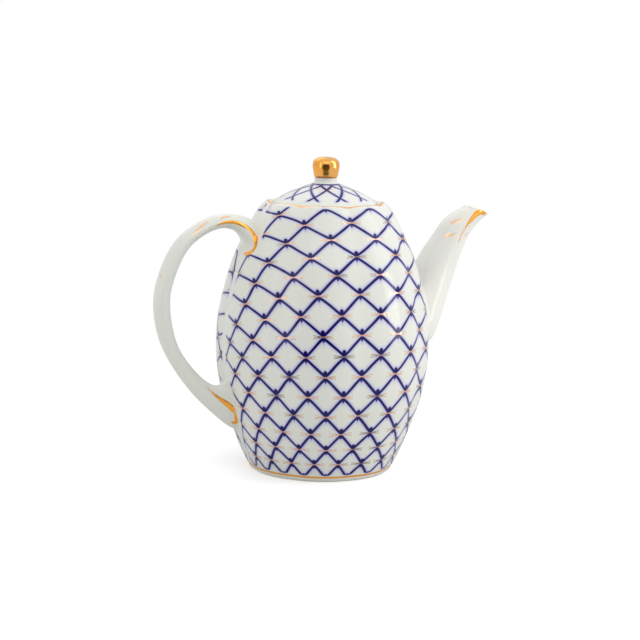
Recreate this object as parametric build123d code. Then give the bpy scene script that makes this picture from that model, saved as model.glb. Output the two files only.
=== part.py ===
from build123d import *
import os
from math import cos, pi, sin

# Porcelain pot with eight soft lobes, a luted spout, a luted loop handle and a lift-off lid.
# Millimetres. Origin: centre of the foot, in the plane that the pot stands on.
# +Z is up and +X points to the spout, so the handle is on -X.

# ---- driving sizes of the body ----
LOBES = 8                    # petals round the body, with a groove towards the spout and the handle
BODY_SECTIONS = [            # height, radius at a petal's crest, depth of the grooves
    (0.0, 39.6, 0.4),
    (5.6, 42.7, 0.6),
    (23.0, 50.1, 1.0),
    (40.3, 55.9, 1.3),
    (57.6, 59.0, 1.45),
    (69.0, 59.7, 1.45),
    (86.1, 58.7, 1.45),
    (103.0, 55.2, 1.35),
    (119.9, 50.1, 1.25),
    (136.7, 42.0, 1.1),
    (147.8, 35.1, 0.9),
    (152.4, 30.6, 0.8),
]
RIM_HEIGHT = 150.6           # top of the rim at a petal's crest
RIM_DIP = 0.9                # how far the rim drops at a groove
RIM_EDGE_SPAN = (23.4, 43.4) # the rim's wavy edge is cut between these radii
FOOT_RING_WIDTH = 4.2
FOOT_RECESS = 2.6            # hollow under the base, inside the foot ring
FLOOR_THICKNESS = 4.6
CAVITY_PROFILE = [           # inner wall, radius and height, from the floor's corner to the shelf
    (33.0, 7.2),
    (41.0, 13.0),
    (49.6, 34.0),
    (55.8, 68.0),
    (51.6, 103.0),
    (43.0, 128.0),
    (36.5, 139.2),
]

# ---- the lid and its seat ----
SEAT_HEIGHT = 147.2          # ledge inside the rim that the lid rests on
SEAT_RADIUS = 29.4           # wall round the ledge
THROAT_RADIUS = 24.6         # opening inside the ledge
SHELF_THICKNESS = 3.2
SHELF_UNDERCUT = 3.4         # how far the shelf's underside reaches in past the wall's last point
LID_RADIUS = 28.6
LID_EDGE_HEIGHT = 148.7      # where the lid's edge meets its dome
LID_LIFT_GAP = 0.05          # glaze-to-glaze clearance on the ledge
FLANGE_RADIUS = 23.8         # ring under the lid that keeps it in the throat
FLANGE_WALL = 2.6
FLANGE_DROP = 10.0
LID_DOME = [(24.2, 152.4), (17.0, 156.2), (9.0, 159.2)]         # radius and height
LID_HOLLOW = [(21.2, 150.45), (16.0, 153.3), (8.0, 155.8), (0.0, 156.7)]   # the underside
NECK_RADIUS = 6.15
NECK_FOOT = (6.35, 161.4)    # radius and height where the neck leaves the dome
NECK_HEIGHT = 163.0
VENT_RADIUS = 1.6            # steam hole, on the side away from the usual front
VENT_OFFSET = 16.0

# ---- the knob ----
KNOB_PROFILE = [(6.15, 163.0), (7.0, 165.8), (7.5, 169.4), (7.1, 171.8), (5.6, 173.6), (3.2, 174.4)]
KNOB_TOP = 174.6

# ---- the spout: each section joins a point of its upper edge to one of its lower edge ----
SPOUT_SECTIONS = [           # upper x and z, lower x and z, half width, how far its lower end narrows
    ((46.0, 97.0), (50.0, 62.0), 20.0, -0.25),
    ((52.8, 105.2), (61.4, 66.5), 19.0, -0.25),
    ((54.8, 109.4), (70.0, 79.8), 15.5, -0.15),
    ((57.0, 114.0), (77.0, 98.0), 12.2, 0.0),
    ((61.4, 121.8), (80.8, 108.8), 10.6, 0.05),
    ((67.8, 130.2), (85.6, 121.8), 9.4, 0.1),
    ((75.0, 139.2), (91.8, 132.8), 8.4, 0.15),
    ((86.8, 145.8), (101.0, 141.0), 6.8, 0.3),
]
SPOUT_WALL = 2.4
SPOUT_BORE_LEAD = 4.0        # how far the bore's cutter runs out past the lip
STRAINER_HOLE_RADIUS = 1.9
STRAINER_PITCH = 6.6
STRAINER_FROM = 40.0         # the drills start here, inside the wall
STRAINER_ROWS = [(77.0, 4), (83.0, 3), (89.0, 4), (95.0, 3)]   # height and number of holes

# ---- the handle: each section joins a point of its outer edge to one of its inner edge ----
HANDLE_SECTIONS = [          # outer x and z, inner x and z, half depth, narrowing to its inner edge
    ((-37.0, 137.0), (-44.2, 118.8), 9.4, -0.45),
    ((-46.2, 141.9), (-48.6, 129.4), 7.9, -0.3),
    ((-55.5, 143.8), (-54.6, 135.2), 6.2, 0.0),
    ((-65.8, 142.9), (-63.0, 135.6), 5.6, 0.0),
    ((-76.6, 138.0), (-71.6, 131.8), 5.5, 0.0),
    ((-87.1, 129.2), (-79.7, 124.7), 5.5, 0.0),
    ((-94.9, 114.6), (-86.1, 112.2), 5.6, 0.0),
    ((-98.7, 97.4), (-89.4, 97.6), 5.7, 0.0),
    ((-96.2, 79.0), (-87.3, 80.3), 5.7, 0.0),
    ((-89.0, 63.0), (-81.6, 66.9), 5.7, 0.0),
    ((-77.5, 46.8), (-71.3, 54.6), 5.9, 0.0),
    ((-65.5, 34.6), (-62.8, 49.6), 6.3, 0.0),
    ((-54.5, 25.6), (-56.5, 51.8), 6.6, 0.0),
    ((-45.0, 22.0), (-50.0, 54.0), 6.8, 0.0),
]
HANDLE_JOIN = 10             # the section where the long upper sweep meets the lower root

# ---- how curves are drawn, and spare length for cutters ----
POINTS_PER_LOBE = 8
POINTS_PER_OVAL = 16
CUTTER_SPARE = 10.0          # past the rim
DRILL_LENGTH = 30.0


def valley(angle):
    """How deep in a groove a direction is: 1 in a groove, 0 on a crest."""
    return (1 - abs(sin(LOBES / 2 * angle))) ** 1.5


def closed_curve(points):
    return Edge.make_spline([Vector(*point) for point in points], periodic=True)


def angles(count):
    return [2 * pi * step / count for step in range(count)]


def lobed_loop(height, radius, groove):
    """One level outline of the body, with its grooves."""
    loop = []
    for angle in angles(POINTS_PER_LOBE * LOBES):
        reach = radius - groove * valley(angle)
        loop.append((reach * cos(angle), reach * sin(angle), height))
    return Wire([closed_curve(loop)])


def oval_loop(first, last, half_width, pinch=0.0, wall=0.0, lead=0.0):
    """An oval across the XZ plane from one edge point to another.

    pinch narrows the oval towards its last point, wall draws it in evenly, and lead moves it
    along the way that the section faces.
    """
    mid = [(a + b) / 2 for a, b in zip(first, last)]
    along = [b - a for a, b in zip(first, last)]
    length = (along[0] ** 2 + along[1] ** 2) ** 0.5
    unit = [step / length for step in along]
    centre = (mid[0] - unit[1] * lead, mid[1] + unit[0] * lead)
    loop = []
    for angle in angles(POINTS_PER_OVAL):
        reach = (length / 2 - wall) * cos(angle)
        side = (half_width - wall) * sin(angle) * (1 - pinch * cos(angle))
        loop.append((centre[0] + unit[0] * reach, side, centre[1] + unit[1] * reach))
    return Wire([closed_curve(loop)])


def revolved(edges):
    """A solid of revolution about Z from edges drawn in the XZ plane."""
    return Solid.revolve(Face(Wire(edges)), 360, Axis.Z)


def at(radius, height):
    return Vector(radius, 0, height)


def chain(*corners):
    """Straight edges through corners given as radius and height."""
    return [Edge.make_line(at(*a), at(*b)) for a, b in zip(corners, corners[1:])]


def smooth(points):
    return Edge.make_spline([at(*point) for point in points])


def pierce(radius, length, place, way):
    """A round drill that starts at a place and runs along a direction."""
    return Solid.make_cylinder(radius, length, Plane(place, z_dir=way))


def rim_cutter():
    """Everything above the rim's wavy edge."""
    def wave(radius):
        loop = []
        for angle in angles(POINTS_PER_LOBE * LOBES):
            height = RIM_HEIGHT - RIM_DIP * valley(angle)
            loop.append((radius * cos(angle), radius * sin(angle), height))
        return closed_curve(loop)

    inner, outer = RIM_EDGE_SPAN
    edge_surface = Face.make_surface_from_curves(wave(inner), wave(outer))
    return Solid.extrude(edge_surface, Vector(0, 0, CUTTER_SPARE))


def cavity():
    """The hollow of the pot, with the seat for the lid at its top."""
    shelf_low = SEAT_HEIGHT - SHELF_THICKNESS
    floor = (0, FOOT_RECESS + FLOOR_THICKNESS)
    wall_top = (CAVITY_PROFILE[-1][0] - SHELF_UNDERCUT, shelf_low)
    corner = CAVITY_PROFILE[0]
    return revolved(
        chain(floor, corner)
        + [smooth(CAVITY_PROFILE + [wall_top])]
        + chain(
            wall_top,
            (THROAT_RADIUS, shelf_low),
            (THROAT_RADIUS, SEAT_HEIGHT),
            (SEAT_RADIUS, SEAT_HEIGHT),
            (SEAT_RADIUS, RIM_HEIGHT + CUTTER_SPARE),
            (0, RIM_HEIGHT + CUTTER_SPARE),
            floor,
        )
    )


def strainer():
    """The holes through the wall behind the spout, which hold back the leaves."""
    drills = []
    for height, count in STRAINER_ROWS:
        for hole in range(count):
            side = (hole - (count - 1) / 2) * STRAINER_PITCH
            place = (STRAINER_FROM, side, height)
            drills.append(pierce(STRAINER_HOLE_RADIUS, DRILL_LENGTH, place, (1, 0, 0)))
    return drills


def make_body(envelope):
    foot_radius = BODY_SECTIONS[0][1] - FOOT_RING_WIDTH
    recess = Solid.make_cylinder(foot_radius, 2 * FOOT_RECESS, Plane((0, 0, -FOOT_RECESS)))
    return envelope - rim_cutter() - cavity() - recess - strainer()


def make_spout(envelope):
    outer = Solid.make_loft([oval_loop(*section) for section in SPOUT_SECTIONS])
    bore_loops = [oval_loop(*section, wall=SPOUT_WALL) for section in SPOUT_SECTIONS]
    bore_loops.append(oval_loop(*SPOUT_SECTIONS[-1], wall=SPOUT_WALL, lead=SPOUT_BORE_LEAD))
    return outer - Solid.make_loft(bore_loops) - envelope


def make_handle(envelope):
    loops = [oval_loop(*section) for section in HANDLE_SECTIONS]
    sweep = Solid.make_loft(loops[:HANDLE_JOIN + 1])
    root = Solid.make_loft(loops[HANDLE_JOIN:])
    return sweep + root - envelope


def make_lid():
    rest = SEAT_HEIGHT + LID_LIFT_GAP
    low = SEAT_HEIGHT - FLANGE_DROP
    flange_inner = FLANGE_RADIUS - FLANGE_WALL
    edge_top = (LID_RADIUS, LID_EDGE_HEIGHT)
    lid = revolved(
        chain((0, NECK_HEIGHT), (NECK_RADIUS, NECK_HEIGHT), NECK_FOOT)
        + [smooth([NECK_FOOT] + LID_DOME[::-1] + [edge_top])]
        + chain(
            edge_top,
            (LID_RADIUS, rest),
            (FLANGE_RADIUS, rest),
            (FLANGE_RADIUS, low),
            (flange_inner, low),
            LID_HOLLOW[0],
        )
        + [smooth(LID_HOLLOW)]
        + chain(LID_HOLLOW[-1], (0, NECK_HEIGHT))
    )
    return lid - pierce(VENT_RADIUS, DRILL_LENGTH, (0, VENT_OFFSET, SEAT_HEIGHT), (0, 0, 1))


def make_knob():
    top = (0, KNOB_TOP)
    bottom = (0, NECK_HEIGHT)
    return revolved(
        chain(bottom, KNOB_PROFILE[0])
        + [smooth(KNOB_PROFILE + [top])]
        + chain(top, bottom)
    )


def main():
    os.makedirs("parts", exist_ok=True)
    envelope = Solid.make_loft([lobed_loop(*section) for section in BODY_SECTIONS])
    parts = {
        "pot_body": make_body(envelope),
        "spout": make_spout(envelope),
        "handle": make_handle(envelope),
        "lid": make_lid(),
        "knob": make_knob(),
    }
    for name, shape in parts.items():
        export_step(shape, f"parts/{name}.step")


main()
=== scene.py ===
import bmesh
import bpy
import math
import numpy as np
from mathutils import Matrix, Vector
from mathutils.bvhtree import BVHTree


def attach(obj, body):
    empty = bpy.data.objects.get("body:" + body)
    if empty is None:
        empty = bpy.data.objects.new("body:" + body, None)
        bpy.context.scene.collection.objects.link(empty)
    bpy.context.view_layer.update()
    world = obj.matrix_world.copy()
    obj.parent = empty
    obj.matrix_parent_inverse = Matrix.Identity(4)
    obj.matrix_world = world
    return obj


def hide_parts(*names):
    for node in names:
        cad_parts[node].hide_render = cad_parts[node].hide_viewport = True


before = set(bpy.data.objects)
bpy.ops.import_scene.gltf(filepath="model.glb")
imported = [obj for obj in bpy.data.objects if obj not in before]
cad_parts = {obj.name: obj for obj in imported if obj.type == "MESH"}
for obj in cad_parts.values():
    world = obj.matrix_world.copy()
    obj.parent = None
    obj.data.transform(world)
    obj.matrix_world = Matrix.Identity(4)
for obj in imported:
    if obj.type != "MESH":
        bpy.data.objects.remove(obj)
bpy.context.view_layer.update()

# A porcelain pot with a net painted in cobalt and small gilded marks, on a plain pale floor.
# Lengths are in millimetres until a mesh is made. +X points to the spout and +Z is up.
MM = 0.001

# -------- sizes of the pot
LOBES = 8
GROOVE_SOFTNESS = 0.18  # rounds the bottom of each groove between two petals
GROOVE_SHAPE = 1.5  # above 1 the petals are broader than the grooves
BODY_SECTIONS = [  # height, radius at a petal's crest, depth of the grooves
    (0.0, 39.6, 0.4), (5.6, 42.7, 0.6), (23.0, 50.1, 1.0), (40.3, 55.9, 1.3), (57.6, 59.0, 1.45),
    (69.0, 59.7, 1.45), (86.1, 58.7, 1.45), (103.0, 55.2, 1.35), (119.9, 50.1, 1.25),
    (136.7, 42.0, 1.1), (147.8, 35.1, 0.9), (152.4, 30.6, 0.8),
]
BODY_SEGMENTS = 384
WALL_RINGS = 150
WALL_FOOT, WALL_TOP = 0.9, 148.9  # heights between which the outer wall runs
FOOT_LOBE_FROM, FOOT_LOBE = 36.0, 0.5  # the foot follows the grooves by half, past this radius
RIM_LOBE_FROM, RIM_LOBE_RADIUS = 148.0, 29.0  # above this height and outwards from this radius
RIM_DIP = 0.6  # how far the rim drops at a groove
RIM_DIP_FROM = 149.0  # the whole rim above this height drops
RIM_DIP_FADE = 12.0  # the drop fades out over this height of the wall
FLOOR_TOP = 7.2  # the inner floor
FLOOR_RADII = (31.0, 20.0, 8.0)
CAVITY_STEP = 3.2
SINK = 0.06  # how far a luted root is set into the wall
END_SINK = 1.0  # how deep the middle of the handle's ends lies
SEARCH_STEPS = 900  # places tried along a tube to find where it leaves the body

FOOT_PROFILE = [  # radius and height, from the middle of the recess to the outer wall
    (0.0, 2.6), (12.0, 2.6), (24.0, 2.6), (33.2, 2.6), (34.6, 2.45), (35.3, 1.9), (35.55, 0.9),
    (35.9, 0.3), (36.5, 0.0), (37.6, 0.0), (38.7, 0.05), (39.35, 0.35),
]
RIM_PROFILE = [  # radius and height over the rim, down to the ledge for the lid
    (33.75, 149.2), (33.1, 149.6), (32.3, 149.95), (31.4, 150.1), (30.5, 150.05), (29.8, 149.75),
    (29.45, 149.2), (29.4, 148.3), (29.35, 147.5), (29.0, 147.2), (27.0, 147.2), (25.2, 147.2),
    (24.75, 147.0), (24.6, 146.5), (24.6, 145.4), (24.6, 144.6), (24.9, 144.1), (26.0, 144.0),
    (30.5, 144.0),
]
CAVITY_PROFILE = [  # radius and height of the inner wall, from the shelf to the floor
    (33.1, 144.0), (36.5, 139.2), (43.0, 128.0), (51.6, 103.0), (55.8, 68.0), (49.6, 34.0),
    (41.0, 13.0), (33.0, FLOOR_TOP),
]
DRILL_SEGMENTS = 40
SHARP_ANGLE = 50.0  # degrees between faces, from which a drilled edge is shaded sharp
STRAINER_HOLE_RADIUS = 1.9
STRAINER_PITCH = 6.6
STRAINER_FROM, STRAINER_LENGTH = 40.0, 30.0  # where the drills start, and how far they run
STRAINER_ROWS = [(77.0, 4), (83.0, 3), (89.0, 4), (95.0, 3)]  # height and number of holes

# each section: upper x and z, lower x and z, half width, how far its lower end flares
SPOUT_SECTIONS = [
    (46.0, 97.0, 50.0, 62.0, 20.0, 0.25), (52.8, 105.2, 61.4, 66.5, 19.0, 0.25),
    (54.8, 109.4, 70.0, 79.8, 15.5, 0.15), (57.0, 114.0, 77.0, 98.0, 12.2, 0.0),
    (61.4, 121.8, 80.8, 108.8, 10.6, -0.05), (67.8, 130.2, 85.6, 121.8, 9.4, -0.1),
    (75.0, 139.2, 91.8, 132.8, 8.4, -0.15), (86.8, 145.8, 101.0, 141.0, 6.8, -0.3),
]
SPOUT_WALL = 2.4
SPOUT_LIP_WALL = 1.5
BORE_TAPER = 0.2  # share of the bore over which the wall grows to its full thickness
SPOUT_RIDGE = 1.78  # below 2 the oval gets soft ridges on its sides
SPOUT_FILLET = 2.6
SPOUT_SEGMENTS, SPOUT_RINGS, BORE_RINGS = 128, 120, 60
SPOUT_FILLET_RINGS, LIP_STEPS = 9, 8
HANDLE_SECTIONS = [  # outer x and z, inner x and z, half depth, flare of its inner edge
    (-37.0, 137.0, -44.2, 118.8, 8.6, 0.9), (-46.2, 141.9, -48.6, 129.4, 7.4, 0.6),
    (-55.5, 143.8, -54.6, 135.2, 6.2, 0.1), (-65.8, 142.9, -63.0, 135.6, 5.6, 0.0),
    (-76.6, 138.0, -71.6, 131.8, 5.5, 0.0), (-87.1, 129.2, -79.7, 124.7, 5.5, 0.0),
    (-94.9, 114.6, -86.1, 112.2, 5.6, 0.0), (-98.7, 97.4, -89.4, 97.6, 5.7, 0.0),
    (-96.2, 79.0, -87.3, 80.3, 5.7, 0.0), (-89.0, 63.0, -81.6, 66.9, 5.7, 0.0),
    (-77.5, 46.8, -71.3, 54.6, 5.9, 0.0), (-65.5, 34.6, -62.8, 49.6, 6.3, 0.0),
    (-54.5, 25.6, -56.5, 51.8, 6.6, 0.0), (-45.0, 22.0, -50.0, 54.0, 6.8, 0.0),
]
HANDLE_RIDGE = 1.72
HANDLE_FILLET = 1.8
HANDLE_SEGMENTS, HANDLE_RINGS, HANDLE_FILLET_RINGS = 96, 400, 8

LID_PROFILE = [  # radius and height, from under the crown round to the neck
    (21.2, 150.4), (21.2, 146.0), (21.2, 140.0), (21.25, 137.7), (21.7, 137.25), (22.5, 137.15),
    (23.3, 137.25), (23.75, 137.7), (23.8, 140.0), (23.8, 144.0), (23.85, 146.9), (24.2, 147.25),
    (26.0, 147.25), (27.9, 147.27), (28.45, 147.5), (28.6, 148.1), (28.55, 148.9), (28.2, 149.5),
]
LID_DOME = [  # radius and height, from the edge to the neck
    (28.2, 149.5), (26.4, 151.1), (24.2, 152.6), (17.0, 156.2), (9.0, 159.2), (6.75, 160.4),
    (6.2, 161.6), (6.15, 163.0),
]
LID_UNDERSIDE = [(0.0, 156.7), (8.0, 155.8), (16.0, 153.3), (21.2, 150.4)]
LID_SEGMENTS, KNOB_SEGMENTS = 256, 128
UNDERSIDE_STEP, DOME_STEP, KNOB_STEP = 1.2, 0.5, 0.35
VENT_RADIUS = 1.6
VENT_OFFSET = 16.0
VENT_FROM, VENT_LENGTH = 147.0, 16.0
NECK_TOP = 163.0
KNOB_FOOT = 163.02
KNOB_PROFILE = [  # radius and height
    (6.0, KNOB_FOOT), (6.3, 163.4), (7.0, 165.8), (7.42, 168.2), (7.45, 170.2), (7.0, 172.1),
    (5.5, 173.6), (2.8, 174.45), (0.0, 174.6),
]
FLAT_TOP_RADII = (4.0, 1.5)  # rings across the flat meeting faces of neck and knob

# -------- the painted net
# The net is a lattice of rows and columns; marks stand where row + column is even.
ARC_TO, ARC_STEPS = 153, 1531  # height up to which, and steps in which, the wall is measured
NET_ROWS = [  # distance up the wall from the foot, row
    (12.4, -1), (32.1, 1), (54.3, 3), (76.6, 5), (98.4, 7), (119.8, 9), (139.6, 11), (158.7, 13),
]
NET_PITCH = [  # row, degrees from one column to the next
    (-1, 8.3), (1, 8.95), (4, 9.6), (6, 10.3), (8, 11.9), (10, 14.8), (12, 18.6), (13.5, 22.8),
]
NET_LEAN = 0.001  # the columns are a little narrower towards the handle
NET_LEAN_FROM = -20.0
NET_SHIFT = 1.3
NET_SAG = 16.0  # how far the rows hang towards the handle and the spout
NET_SAG_SPOUT = 9.0
NET_SAG_SHAPE = 2.6
NET_SAG_START, NET_SAG_FULL = 38.0, 98.0  # distances up the wall
NET_CELL_HEIGHT = 10.5
NET_FOOT, NET_TOP = 3.2, 149.9  # heights between which the wall is painted
OUTER_FROM, OUTER_SPARE = 0.6, 1.0  # what counts as the outer side: above, and this near it
NET_GAP = 2.0  # half of the bare strips behind the handle and over the spout
NET_GAP_OVER_SPOUT = 112.0  # the strip over the spout starts at this height
SPOUT_CLEARING, HANDLE_TOP_CLEARING, HANDLE_LOW_CLEARING = 0.3, 2.0, 2.5
SHOULDER_CLEARING = (163.5, 124.0, 143.5)  # bare beside the handle: azimuth, lower, upper height
LID_COLUMN = 18.0  # degrees
LID_ROWS = [  # radius on the lid, row
    (5.0, 3.6), (7.9, 2.5), (14.4, 1.0), (22.4, 0.0), (28.0, -0.65),
]
LID_NET_EDGE = 26.6
LID_NET_TURN = 110.0
LID_RING = 7.9  # radius of the cobalt ring round the neck
LID_RING_WIDTH = 0.62
LID_RING_OVERLAP = 0.4  # how far the net runs into the ring
LID_TOP_SIDE = [(6.0, 158.0), (24.0, 151.5), (28.7, 148.2)]  # radius, height the dome's top is above
LID_SLOPE = 1.06  # length up the dome for each millimetre of radius
LID_LEAST_ROWS = 0.05  # rows in a millimetre, at least

# -------- the gilded lines
BASE_LINE_HEIGHT, BASE_LINE_WIDTH = 3.0, 0.65
RIM_LINE_RADIUS, RIM_LINE_WIDTH, RIM_LINE_FROM = 31.7, 0.75, 148.6
RIM_LINE_SOFTNESS = 0.5
ROOT_ARC_HEIGHT = 84.0  # the thin gold arc on each side of the spout's root
ROOT_ARC_REACH = 12.0
ROOT_ARC_ASIDE = 13.0
ROOT_ARC_WIDTH = 0.6
RELIEF_EDGE = (0.35, -0.7)  # thick gilding rises between these distances from its edge

FAR = 50.0  # a distance that leaves no paint
UNPAINTED = -5.0  # the same for the net, which is painted where its field is positive
LOOP_REACH = 12.0  # distances from loops and strokes are worked out up to these
STROKE_REACH = 6.0


# -------- curves and shapes
class Curve:
    """A natural cubic spline through values, which may be single numbers or rows of them."""

    def __init__(self, places, values):
        self.x = np.asarray(places, float)
        self.y = np.asarray(values, float)
        self.h = np.diff(self.x)
        count = len(self.x)
        slope = (np.diff(self.y, axis=0).T / self.h).T
        system = np.eye(count)
        right = np.zeros_like(self.y)
        for i in range(1, count - 1):
            system[i, i - 1:i + 2] = self.h[i - 1], 2 * (self.h[i - 1] + self.h[i]), self.h[i]
            right[i] = 6 * (slope[i] - slope[i - 1])
        self.bend = np.linalg.solve(system, right)

    def __call__(self, at):
        at = np.clip(np.asarray(at, float), self.x[0], self.x[-1])
        k = np.clip(np.searchsorted(self.x, at, side="right") - 1, 0, len(self.x) - 2)
        h = self.h[k]
        a = (self.x[k + 1] - at) / h
        if self.y.ndim > 1:
            h, a = h[..., None], a[..., None]
        b = 1 - a
        bent = (a ** 3 - a) * self.bend[k] + (b ** 3 - b) * self.bend[k + 1]
        return a * self.y[k] + b * self.y[k + 1] + bent * h * h / 6


def columns(rows):
    return list(zip(*rows))


def through(points, step):
    """Points about step apart along a smooth curve through the given ones."""
    points = np.asarray(points, float)
    along = np.concatenate([[0], np.cumsum(np.linalg.norm(np.diff(points, axis=0), axis=1))])
    count = max(2, int(along[-1] / step) + 1)
    return Curve(along, points)(np.linspace(0, along[-1], count))


def smoothstep(low, high, value):
    share = np.clip((value - low) / (high - low), 0, 1)
    return share * share * (3 - 2 * share)


crest_radius = Curve(*[columns(BODY_SECTIONS)[i] for i in (0, 1)])
groove_depth = Curve(*[columns(BODY_SECTIONS)[i] for i in (0, 2)])


def valley(azimuth):
    """1 in a groove between two petals, 0 on a petal's crest."""
    ripple = np.sqrt(np.sin(LOBES / 2 * azimuth) ** 2 + GROOVE_SOFTNESS ** 2)
    return np.clip((1 - ripple) / (1 - GROOVE_SOFTNESS), 0, 1) ** GROOVE_SHAPE


def body_radius(height, azimuth):
    return crest_radius(height) - groove_depth(height) * valley(azimuth)


def outside_body(points):
    """How far points are outside the body's outer surface, measured level."""
    azimuth = np.arctan2(points[..., 1], points[..., 0])
    return np.hypot(points[..., 0], points[..., 1]) - body_radius(points[..., 2], azimuth)


def onto_body(points, lift):
    """The same points moved level to lie lift outside the body's surface."""
    azimuth = np.arctan2(points[..., 1], points[..., 0])
    radius = body_radius(points[..., 2], azimuth) + lift
    return np.stack([radius * np.cos(azimuth), radius * np.sin(azimuth), points[..., 2]], axis=-1)


def body_normal(points):
    azimuth = np.arctan2(points[..., 1], points[..., 0])
    slope = body_radius(points[..., 2] + 0.5, azimuth) - body_radius(points[..., 2] - 0.5, azimuth)
    normal = np.stack([np.cos(azimuth), np.sin(azimuth), -slope], axis=-1)
    return normal / np.linalg.norm(normal, axis=-1, keepdims=True)


def ring_mesh(name, rings, closed=False, first_pole=None, last_pole=None):
    """A mesh object of quads through rings of points, with a fan of triangles to each pole."""
    rings = np.asarray(rings, float)
    rows, count = rings.shape[:2]
    points = [tuple(point) for point in rings.reshape(-1, 3) * MM]
    here = np.arange(count)
    after = (here + 1) % count
    faces = []
    for row in range(rows if closed else rows - 1):
        low, high = row * count, (row + 1) % rows * count
        quads = np.stack([low + here, low + after, high + after, high + here], axis=1)
        faces += quads.tolist()
    for pole, row in ((first_pole, 0), (last_pole, rows - 1)):
        if pole is not None:
            points.append(tuple(np.asarray(pole, float) * MM))
            fan = np.stack([row * count + after, row * count + here], axis=1)
            faces += [[a, b, len(points) - 1] for a, b in fan.tolist()]
    mesh = bpy.data.meshes.new(name)
    mesh.from_pydata(points, [], faces)
    shape = bmesh.new()
    shape.from_mesh(mesh)
    bmesh.ops.recalc_face_normals(shape, faces=shape.faces)
    shape.to_mesh(mesh)
    shape.free()
    mesh.polygons.foreach_set("use_smooth", [True] * len(mesh.polygons))
    obj = bpy.data.objects.new(name, mesh)
    bpy.context.scene.collection.objects.link(obj)
    return obj


def lathe(rows, segments):
    """Rings round Z. A row has a radius and a height, and may add how far it follows the body's
    grooves inwards and downwards, from 0 to 1."""
    azimuth = np.linspace(-math.pi, math.pi, segments, endpoint=False)
    groove = valley(azimuth)
    rings = []
    for radius, height, *follow in rows:
        lobe, dip = follow or (0.0, 0.0)
        reach = radius - lobe * groove_depth(height) * groove
        level = height - dip * RIM_DIP * groove
        rings.append(np.stack([reach * np.cos(azimuth), reach * np.sin(azimuth), level], axis=-1))
    return rings


def drill(obj, holes):
    """Cuts round holes, each given as radius, start and direction times length."""
    shape = bmesh.new()
    for radius, start, run in holes:
        run = Vector(run)
        facing = run.to_track_quat("Z", "Y").to_matrix().to_4x4()
        place = Matrix.Translation((Vector(start) + run / 2) * MM) @ facing
        bmesh.ops.create_cone(shape, cap_ends=True, segments=DRILL_SEGMENTS, radius1=radius * MM,
                              radius2=radius * MM, depth=run.length * MM, matrix=place)
    mesh = bpy.data.meshes.new("drills")
    shape.to_mesh(mesh)
    shape.free()
    cutter = bpy.data.objects.new("drills", mesh)
    bpy.context.scene.collection.objects.link(cutter)
    cut = obj.modifiers.new("holes", "BOOLEAN")
    cut.operation, cut.solver, cut.object = "DIFFERENCE", "EXACT", cutter
    depsgraph = bpy.context.evaluated_depsgraph_get()
    drilled = bpy.data.meshes.new_from_object(obj.evaluated_get(depsgraph))
    obj.modifiers.clear()
    obj.data = drilled
    bpy.data.objects.remove(cutter)
    drilled.set_sharp_from_angle(angle=math.radians(SHARP_ANGLE))


def tube_point(sections, ridge, along, turn, wall=0.0, lead=0.0):
    """Points of a tube: a soft four-sided oval whose place and size come from its sections. Wall
    sets it in, and lead moves it on past its end."""
    section = sections(along)
    upper, lower = section[..., 0:2], section[..., 2:4]
    half_width, flare = section[..., 4], section[..., 5]
    middle = (upper + lower) / 2
    length = np.linalg.norm(lower - upper, axis=-1)
    unit = (lower - upper) / length[..., None]
    cos, sin = np.cos(turn), np.sin(turn)
    bulge = (np.abs(cos) ** ridge + np.abs(sin) ** ridge) ** (-1 / ridge)
    reach = (length / 2 - wall) * cos * bulge
    side = (half_width - wall) * sin * np.exp(flare * cos) * bulge
    x = middle[..., 0] + unit[..., 0] * reach - unit[..., 1] * lead
    z = middle[..., 1] + unit[..., 1] * reach + unit[..., 0] * lead
    return np.stack([x, side, z], axis=-1)


def leaving(sections, ridge, turn, start, stop, gap, wall=0.0):
    """Where each line along the tube, from start towards stop, is gap outside the body."""
    along = np.linspace(start, stop, SEARCH_STEPS)
    found = np.zeros(len(turn))
    for i, angle in enumerate(turn):
        clear = outside_body(tube_point(sections, ridge, along, angle, wall)) - gap
        k = int(np.argmax(clear > 0))
        share = -clear[k - 1] / (clear[k] - clear[k - 1]) if k else 0
        found[i] = along[max(k - 1, 0)] + share * (along[1] - along[0])
    return found


def fillet_rows(root, free, width, count):
    """Rows from the body's surface up to the free tube, in a smooth hollow curve."""
    normal = body_normal(root)
    out = root - root.mean(axis=0)
    out -= normal * np.sum(out * normal, axis=-1, keepdims=True)
    out /= np.linalg.norm(out, axis=-1, keepdims=True)
    foot = onto_body(root + out * width, -SINK)
    rows = []
    for share in np.linspace(0, 1, count, endpoint=False):
        rows.append((1 - share) ** 2 * foot + 2 * share * (1 - share) * root + share ** 2 * free)
    return rows


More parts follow.
